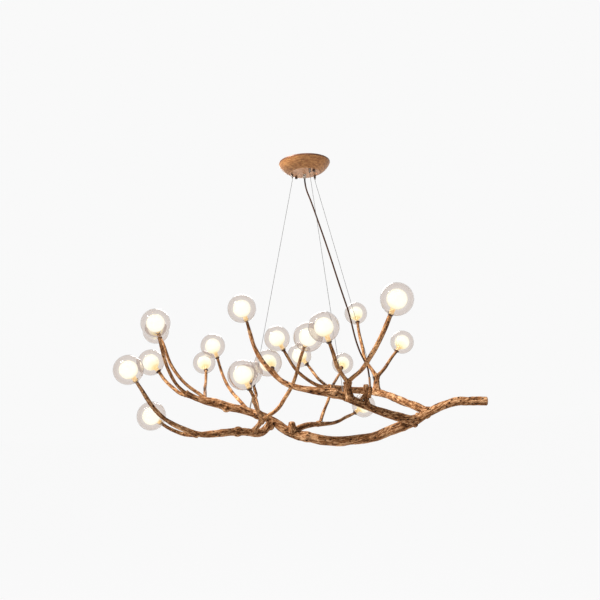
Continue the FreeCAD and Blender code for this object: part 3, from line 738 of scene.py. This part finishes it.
twigRoutes = {
    "a": [(-476, -22, 20, 7), (-511, -43, 59, 6.3), (-529, -64, 97, 6), (-541, -104, 150, 6),
          (-542, -176, 218, 5.8), (-540, -207, 236, 5.5)],
    "b": [(-402, -4, -8, 7), (-435, -3, 22, 6.5), (-458, -5, 39, 6.2), (-485, -9, 62, 6),
          (-514, -12, 97, 6), (-543, -16, 150, 6), (-566, -16, 218, 5.8), (-581, 7, 239, 5.5)],
    "d": [(-470, -20, 18, 7), (-500, -12, 26, 6.5), (-530, -3, 47, 6), (-569, 10, 84, 5.6),
          (-589, 20, 112, 5.5)],
    "e": [(-425, -146, -119, 8), (-466, -121, -117, 7), (-503, -101, -107, 6.3), (-537, -90, -91, 5.8),
          (-556, -112, -73, 5.5)],
    "f": [(-259, 17, -50, 8), (-289, 51, -15, 6.7), (-316, 94, 12, 6.3), (-346, 146, 48, 6.3),
          (-384, 205, 130, 5.6), (-392, 201, 164, 5.5)],
    "g": [(-423, -8, -4, 7), (-424, 38, 6, 6.5), (-432, 101, 23, 6.2), (-451, 230, 55, 6.2),
          (-469, 380, 102, 5.8), (-472, 406, 127, 5.5)],
    "i": [(-207, -48, -85, 8), (-211, -92, -61, 7), (-215, -150, -40, 6.5), (-216, -220, -20, 6.2),
          (-215, -272, -9, 6), (-213, -290, 0, 5.8), (-223, -294, 23, 5.5)],
    "j": [(-116, -178, 43, 6.5), (-131, -165, 61, 5.8), (-146, -147, 80, 5.5),
          (-156, -120, 95, 5.2)],
    "k": [(48, 108, 22, 7.5), (14, 105, 31, 7), (-35, 92, 60, 6.5), (-78, 80, 102, 6),
          (-101, 73, 141, 5.8), (-117, 68, 172, 5.5)],
    "l": [(-206, -46, -86, 8), (-186, -50, -71, 7.5), (-160, -60, -56, 7), (-136, -71, -34, 7.2),
          (-121, -82, -13, 7), (-95, -104, 24, 6.5), (-67, -149, 86, 6), (-47, -208, 142, 5.8),
          (-38, -239, 160, 5.5)],
    "m": [(104, -188, 34, 7.5), (90, -216, 50, 7), (77, -260, 66, 7), (62, -322, 88, 7),
          (51, -375, 121, 6.5), (41, -381, 154, 6)],
    "n": [(49, 110, 22, 7), (33, 146, 39, 6.5), (12, 189, 61, 5.9), (-9, 224, 93, 5.8),
          (-28, 237, 122, 5.5)],
    "o": [(8, 150, -113, 7), (21, 193, -80, 6.5), (36, 229, -51, 6), (50, 266, -24, 6),
          (72, 347, 28, 6), (119, 486, 97, 5.8), (126, 518, 113, 5.5)],
    "p": [(247, 191, 57, 8), (229, 218, 93, 7), (214, 246, 124, 7), (208, 291, 178, 6.8),
          (202, 365, 270, 6.5), (202, 385, 301, 6.2)],
    "q": [(104, -188, 34, 8), (121, -212, 49, 7.5), (140, -246, 64, 6.7), (157, -294, 85, 7.5),
          (168, -335, 104, 7.7), (188, -424, 143, 7.4), (207, -490, 188, 7.6), (220, -507, 217, 6.6)],
    "r": [(247, 192, 57, 8), (286, 241, 90, 7.2), (327, 296, 137, 6.3), (349, 308, 161, 6.2)],
    "t": [(-208, -47, -85, 7), (-215, -25, -62, 6.5), (-222, 12, -44, 6), (-232, 78, -15, 6),
          (-240, 140, 5, 6), (-240, 181, 14, 5.8), (-248, 178, 45, 5.5)],
}
limbLights = {"c": "lowerLeft", "h": "middle", "s": "low"}  # lights on the limbs' own ends

barkShape = {
    "step": 2.4,        # distance between rings, mm
    "sides": 96,        # points round a limb
    "groove": 1.3,      # depth of the grooves along the grain, mm
    "swell": 1.05,      # height of slow swellings, mm
    "pit": 0.22,        # depth of small pits, mm
    "flare": 0.45,      # widening where a side limb leaves its carrier, as a share of its radius
    "flareReach": 16.0,
    "endRound": 3.0,    # rounding of a sawn end, mm
    "full": 13.0,       # relief fades on parts thinner than this radius, mm
}
twigShape = {
    "step": 3.0, "sides": 32, "groove": 0.18, "swell": 0.315, "pit": 0.06, "flare": 0.35,
    "flareReach": 14.0, "endRound": 0.8, "full": 5.5,
}
reliefShape = {
    "groove": (13.0, 0.16),   # size of the waves, mm, and the share of it that counts along the grain
    "swell": (46.0, 0.5),
    "pit": (5.5, 0.6),
    "ridge": 0.62,            # how far the ridges between grooves stand out
    "twist": 0.006,           # turn of the grain, radians per mm
    "wander": (0.5, 55.0),    # its swing, radians, over this many mm
    "least": 0.3,             # least relief on a thin part, before the power
    "fade": 1.5,
    "blend": 2.2,             # width of the round join between skin and knuckle, mm
}


def roundedEnds(places, radii, gone, size):
    # the last ring at each end becomes three, whose radius falls along a quarter circle
    turn = np.radians([30, 60, 82])
    along = places[1] - places[0]
    along /= np.linalg.norm(along)
    ahead = places[-1] - places[-2]
    ahead /= np.linalg.norm(ahead)
    rim = np.sin(turn)[:, None] * size
    first = places[0] - along * rim
    last = places[-1] + ahead * rim
    places = np.vstack([first[::-1] + along * size, places[1:-1], last - ahead * size])
    fall = size * (1 - np.cos(turn))
    radii = np.concatenate([(radii[0] - fall)[::-1], radii[1:-1], radii[-1] - fall])
    return places, radii, np.concatenate([(gone[0] - rim[:, 0])[::-1], gone[1:-1], gone[-1] + rim[:, 0]])


def withMiddles(values):
    # values of a closed skin's points: the rings', then the mean of the first and of the last ring
    return np.concatenate([values.reshape(-1, *values.shape[2:]),
                           values[0].mean(axis=0)[None], values[-1].mean(axis=0)[None]])


def grainPlaces(radii, gone, angle, turned):
    # points of a straight log with the limb's radii and distances; turned twists its grain round its length
    radius = np.broadcast_to(radii[:, None], (len(radii), len(angle)))
    x, y = radius * np.cos(angle), radius * np.sin(angle)
    length = np.broadcast_to(gone[:, None], radius.shape)
    swing, over = reliefShape["wander"]
    twist = length * reliefShape["twist"] + swing * np.sin(length / over + turned)
    return np.stack([x * np.cos(twist) - y * np.sin(twist), x * np.sin(twist) + y * np.cos(twist), length],
                    axis=-1)


def woodRelief(grain, radii, shape, seed):
    # rise in mm, ridges less grooves plus swellings and pits, and relief, 0 in a groove to 1 on a ridge
    waves = []
    for count, kind in enumerate(("groove", "swell", "pit")):
        size, share = reliefShape[kind]
        waves.append(ripples(grain * (1, 1, share), size, seed + count))
    ridge = reliefShape["ridge"] - np.abs(waves[0])
    rise = shape["groove"] * ridge + shape["swell"] * waves[1] + shape["pit"] * waves[2]
    thin = np.clip(radii[:, None] / shape["full"], reliefShape["least"], 1) ** reliefShape["fade"]
    relief = np.clip(0.5 + 0.55 * ridge + 0.18 * waves[2] + 0.12 * waves[1], 0, 1)
    return rise * thin, relief


def withKnuckle(surface, places, out, rise, ball):
    # how far the ball reaches along each outward ray; the skin takes the further of the two, smoothly
    size = ball[3]
    blend = reliefShape["blend"]
    across = np.array(ball[:3]) - places
    ahead = np.einsum("rk,rck->rc", across, out)
    apart = (across ** 2).sum(axis=-1)[:, None]
    reach = ahead ** 2 - apart + size ** 2
    far = ahead + np.sqrt(np.maximum(reach, 0)) + rise
    skin = np.linalg.norm(surface - places[:, None], axis=-1)
    push = np.log1p(np.exp(np.clip((far - skin) / blend, -20, 20))) * blend
    # nothing is pushed where the ray misses the ball or starts more than 1.5 radii from it
    near = np.clip(reach / (0.3 * size ** 2), 0, 1) * np.clip(3 - np.sqrt(apart) / (0.5 * size), 0, 1)
    return surface + out * (push * near)[..., None]


def woodSkin(skins, stops, shape, seed, flareStart=False, bumps=()):
    # a tube along the route: radius plus relief, a flared foot, rounded ends and round knuckles
    places, radii, gone = smoothRoute(stops, shape["step"])
    if flareStart:
        radii = radii * (1 + shape["flare"] * np.exp(-(gone / shape["flareReach"]) ** 2))
    places, radii, gone = roundedEnds(places, radii, gone, shape["endRound"])
    side, lift = crossFrames(places)
    angle = np.linspace(0, 2 * np.pi, shape["sides"], endpoint=False)
    out = side[:, None] * np.cos(angle)[None, :, None] + lift[:, None] * np.sin(angle)[None, :, None]
    grain = grainPlaces(radii, gone, angle, seed)
    rise, relief = woodRelief(grain, radii, shape, seed)
    surface = places[:, None] + out * (radii[:, None] + rise)[..., None]
    for ball in bumps:
        surface = withKnuckle(surface, places, out, rise, ball)
    points, quads, fans = closedSkin(surface)
    skins.add(fromDatum(points), quads, fans, grain=withMiddles(grain) * mm + seed * 0.37,
              relief=withMiddles(relief))


for number, (name, route) in enumerate(limbRoutes.items()):
    skins = Skins()
    woodSkin(skins, route, barkShape, 11 + 7 * number, name != "main", knuckles[name])
    for count, stump in enumerate(stumpRoutes[name]):
        woodSkin(skins, stump, barkShape, 71 + 5 * number + count, True, knuckles[name])
    skins.build(name + "Limb", barkMaterial, "branch", "bark", *limbNodes[name])
for number, (letter, route) in enumerate(twigRoutes.items()):
    skins = Skins()
    woodSkin(skins, route, twigShape, 131 + 3 * number, True)
    skins.build("twig" + letter.upper(), twigMaterial, "branch", "bark", "twig_" + letter)
print("branch made")


# Millimetres from the twig's end, along the light's own axis.
lightShape = {
    # outer radius, wall, radius of the hole, rings on a side, points round
    "globe": (50.0, 1.5, 8.3, 34, 56),
    "diffuser": (31.0, 1.2, 7.3, 24, 48),
    "collarTop": 6.0,
    "collarSide": (9.25, 3.0),   # radius, and the height where its cone ends
    "collarFoot": 6.5,           # radius on the twig's end
    "collarEdge": 0.7,           # size of its bevel
    "holderRadius": 8.0,
    "ribs": (7.75, 0.22, 2.3),   # radius, depth and pitch
    "neck": (6.95, 6.9, 5.0),    # radius at its foot and top, height
    "socket": (5.1, 7.0),        # radius and depth
}


def lightEnds():
    # each light stands on its twig's end and points at the middle of its glass ball
    routes = dict(twigRoutes)
    routes.update({letter: limbRoutes[name] for letter, name in limbLights.items()})
    out = {}
    for letter, route in sorted(routes.items()):
        foot = np.array(route[-1][:3], float) - (0, 0, drop)
        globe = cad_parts["globe_" + letter]
        centre = np.mean([globe.matrix_world @ Vector(corner) for corner in globe.bound_box], axis=0) / mm
        out[letter] = (foot, (centre - foot) / np.linalg.norm(centre - foot))
    return out


def ballProfile(size, wall, hole, steps, centre):
    # from the outer pole down the outside to the hole's rim, over it, and up the inside
    inner = size - wall
    outerTurn = np.linspace(0.02, np.pi - math.asin(hole / size), steps)
    innerTurn = np.linspace(np.pi - math.asin(hole / inner), 0.02, steps)
    outside = np.stack([size * np.sin(outerTurn), centre + size * np.cos(outerTurn)], axis=-1)
    inside = np.stack([inner * np.sin(innerTurn), centre + inner * np.cos(innerTurn)], axis=-1)
    lip = (outside[-1] + inside[0]) / 2 + (-0.25, -0.1)
    return np.vstack([outside, lip, inside])


def scatter(name, profile, sides, material, slotName, nodes, withHeight=False):
    # the lathe form of a profile, once on each light
    points, quads, fans = closedSkin(latheRings(profile, sides)[::-1])
    values = {}
    if withHeight:
        values["height"] = (points[:, 2] - points[:, 2].min()) / np.ptp(points[:, 2])
    skins = Skins()
    for base, direction in ends.values():
        skins.add(turnedTo(points, base, direction) * mm, quads, fans, **values)
    skins.build(name, material, "branch", slotName, *nodes)


def makeLights(settings):
    axis = 0.05  # radius at which a closed profile starts and ends
    top = settings["collarTop"]
    globeR, wall, globeHole, rings, sides = settings["globe"]
    centre = top + math.sqrt(globeR ** 2 - globeHole ** 2)
    profile = ballProfile(globeR, wall, globeHole, rings, centre)
    balls = ["globe_" + letter for letter in ends]
    scatter("glassBalls", profile, sides, glassMaterial, "clear_glass", balls)
    diffuserR, wall, diffuserHole, rings, sides = settings["diffuser"]
    shoulder = centre - math.sqrt(diffuserR ** 2 - diffuserHole ** 2)
    profile = ballProfile(diffuserR, wall, diffuserHole, rings, centre)
    scatter("frostedBalls", profile, sides, frostedMaterial, "frosted_glass", ["diffusers"],
            withHeight=True)

    collarR, coneTop = settings["collarSide"]
    corners = [(axis, top), (collarR, top), (collarR, coneTop), (settings["collarFoot"], 0), (axis, 0)]
    profile = bevelled(corners, settings["collarEdge"])
    scatter("collarRings", profile, 40, collarMaterial, "bronze", ["collars"])

    # the lampholder's side is a cosine wave of ribs between the collar and the inner ball
    ribR, ribDepth, pitch = settings["ribs"]
    height = np.linspace(top + 1.2, shoulder - 1.2, 40)
    ribs = np.stack([ribR - ribDepth * np.cos(2 * np.pi * (height - top) / pitch), height], axis=-1)
    footR, neckR, neckHeight = settings["neck"]
    socketR, socketDepth = settings["socket"]
    neckTop = shoulder + neckHeight
    holderR = settings["holderRadius"]
    neck = [(axis, neckTop - socketDepth), (socketR, neckTop - socketDepth), (socketR, neckTop),
            (neckR, neckTop), (footR, shoulder), (holderR, shoulder)]
    profile = np.vstack([neck, ribs[::-1], [(holderR, top), (axis, top)]])
    scatter("lampholderBodies", profile, 36, holderPaintedGlowMaterial, "amber_brass", ["lampholders"])


ends = lightEnds()
makeLights(lightShape)
print("lights made")


roomSettings = {
    "backdrop": (249, 249, 249),
    "floorHeight": -2.4,
    "floorSize": 30.0,      # half its side
    "floorGlow": 1.01,      # strength of the floor's own light, which hides the horizon
    "floorShare": 0.985,    # share of it; the rest takes the lamps' light and the shadow
    "ambient": 0.06,
    "aim": (0, 0, -0.8),
    "lamps": [              # name, place, diameter, watts
        ("keyLamp", (-2.4, -1.15, 1.7), 0.9, 305),
        ("frontLamp", (0.7, -2.8, 1.1), 1.2, 26),
        ("backLamp", (-0.3, 2.4, 1.0), 1.6, 50),
    ],
}


def showsRoom(nodes, links):
    # 1 for what the camera sees, also in gloss and through glass
    path = nodes.new("ShaderNodeLightPath")
    seen = addMath(nodes, links, "MAXIMUM", path.outputs["Is Camera Ray"], path.outputs["Is Glossy Ray"])
    return addMath(nodes, links, "MAXIMUM", seen, path.outputs["Is Transmission Ray"])


def makeRoom(settings):
    backdrop = linear(*settings["backdrop"])
    world = bpy.data.worlds.new("room")
    bpy.context.scene.world = world
    world.use_nodes = True
    nodes, links = world.node_tree.nodes, world.node_tree.links
    soft = (settings["ambient"],) * 3 + (1.0,)
    links.new(addMix(nodes, links, showsRoom(nodes, links), soft, backdrop),
              nodes["Background"].inputs["Color"])

    material, nodes, links, shader = newMaterial("floorFinish")
    shader.inputs["Base Color"].default_value = backdrop
    shader.inputs["Roughness"].default_value = 0.9
    glow = nodes.new("ShaderNodeEmission")
    glow.inputs["Color"].default_value = backdrop
    glow.inputs["Strength"].default_value = settings["floorGlow"]
    mix = nodes.new("ShaderNodeMixShader")
    share = addMath(nodes, links, "MULTIPLY", showsRoom(nodes, links), settings["floorShare"])
    links.new(share, mix.inputs[0])
    links.new(shader.outputs[0], mix.inputs[1])
    links.new(glow.outputs[0], mix.inputs[2])
    links.new(mix.outputs[0], nodes["Material Output"].inputs["Surface"])
    mesh = bpy.data.meshes.new("floor")
    size, level = settings["floorSize"], settings["floorHeight"]
    corners = [(-size, -size, level), (size, -size, level), (size, size, level), (-size, size, level)]
    mesh.from_pydata(corners, [], [(0, 1, 2, 3)])
    mesh.materials.append(material)
    floor = bpy.data.objects.new("floor", mesh)
    bpy.context.scene.collection.objects.link(floor)

    for name, place, size, power in settings["lamps"]:
        data = bpy.data.lights.new(name, "AREA")
        data.shape = "DISK"
        data.size = size
        data.energy = power
        lamp = bpy.data.objects.new(name, data)
        bpy.context.scene.collection.objects.link(lamp)
        lamp.location = place
        lamp.visible_transmission = False  # or the balls would show it as a white disc
        toAim = Vector(settings["aim"]) - Vector(place)
        lamp.rotation_euler = toAim.to_track_quat("-Z", "Y").to_euler()


makeRoom(roomSettings)
bpy.context.scene.view_settings.view_transform = "Standard"
print("room made")
